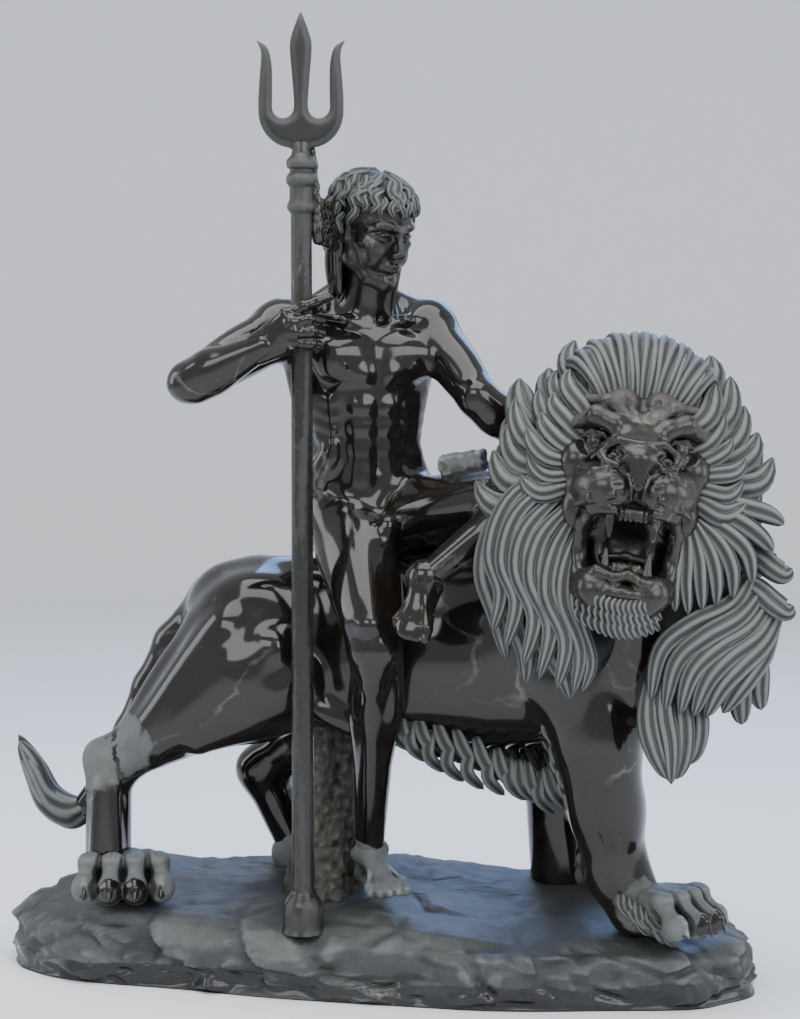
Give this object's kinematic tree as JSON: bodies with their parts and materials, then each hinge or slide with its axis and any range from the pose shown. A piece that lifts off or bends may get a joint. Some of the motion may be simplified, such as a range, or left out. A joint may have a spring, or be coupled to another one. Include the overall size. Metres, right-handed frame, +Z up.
{
  "type": "marble statue of a man riding a lion",
  "caption": "Life-size carved black marble group of a nude man with a trident, seated on a striding, roaring lion over an oval rock base.",
  "frame": {"origin": "centre of the base's flat underside", "axes": "+Z up, +X the way the lion walks, -Y the side that the rider faces"},
  "size_m": [1.697, 0.7178, 2.0367],
  "materials": {
    "black_marble": "polished black marble with a brown cast and fine pale veins",
    "honed_marble": "the same stone left honed and tooled, dull grey",
    "rough_marble": "the same stone left pitted from the point chisel"
  },
  "bodies": {
    "root": {"man_on_lion": "black_marble"}
  },
  "joints": []
}
